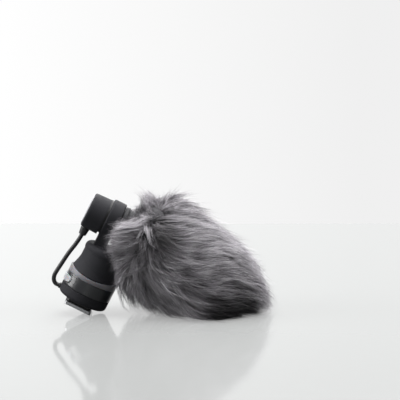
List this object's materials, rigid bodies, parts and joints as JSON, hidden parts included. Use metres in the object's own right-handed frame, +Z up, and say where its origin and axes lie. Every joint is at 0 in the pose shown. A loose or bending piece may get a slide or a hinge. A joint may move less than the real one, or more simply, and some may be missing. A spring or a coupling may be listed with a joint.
{
  "type": "furry microphone windscreen",
  "caption": "Furry egg-shaped windscreen fitted on a compact camera-top microphone with a ring arm, rubber isolator, round base and shoe foot.",
  "frame": {"origin": "middle of the bounding box's bottom, on the table the object lies on", "axes": "+X along the table towards the fur's nose, +Z up, the middle plane of the microphone is Y = 0"},
  "size_m": [0.1405, 0.0696, 0.0787],
  "materials": {
    "fur": "matte",
    "backing": "matte",
    "foam": "matte",
    "elastic": "matte",
    "anodised": "satin",
    "capsule_metal": "satin",
    "rubber": "matte",
    "board": "satin",
    "dark_plastic": "matte",
    "gloss_black": "gloss",
    "isolator_rubber": "satin",
    "button_plastic": "satin",
    "switch_plastic": "satin",
    "steel": "satin"
  },
  "bodies": {
    "windscreen": {"fur_cover": "fur", "backing_cloth": "backing", "foam_core": "foam", "cuff_band": "backing", "cuff_elastic": "elastic"},
    "microphone": {"barrel_tube": "anodised", "front_grille": "anodised", "acoustic_sleeve": "foam", "capsule": "capsule_metal", "capsule_holder": "rubber", "preamp_board": "board", "arm": "dark_plastic", "joint_ring": "rubber", "rear_housing": "dark_plastic", "rear_cap": "capsule_metal", "cable_boot": "rubber", "link_cable": "rubber", "neck": "dark_plastic", "neck_cap": "dark_plastic", "arm_screws": "steel", "isolator": "isolator_rubber"},
    "base": {"base_upper_shell": "gloss_black", "base_lower_shell": "dark_plastic", "rear_panel": "gloss_black", "base_board": "board", "tact_switch": "switch_plastic", "output_jack": "switch_plastic", "jack_nut": "steel", "cable_gland": "rubber", "shoe_spacer": "dark_plastic", "shoe_foot": "steel", "shoe_screws": "steel", "base_screws": "steel"},
    "function_button": {"function_button": "button_plastic"}
  },
  "joints": [
    {"name": "windscreen_slide", "type": "slide", "parent": "windscreen", "child": "microphone", "axis": [-0.891, 0, 0.454], "range_m": [0, 0.052]},
    {"name": "isolator_flex", "type": "hinge", "parent": "microphone", "child": "base", "pos_m": [-0.02097, 0, 0.07462], "axis": [0, 1, 0], "range_deg": [-1.5, 1.5], "stiffness_Nm_per_rad": 1.5, "deforming": ["isolator", "link_cable"]},
    {"name": "button_press", "type": "slide", "parent": "base", "child": "function_button", "axis": [0.891, 0, -0.454], "range_m": [0, 0.001], "stiffness_N_per_m": 400}
  ]
}
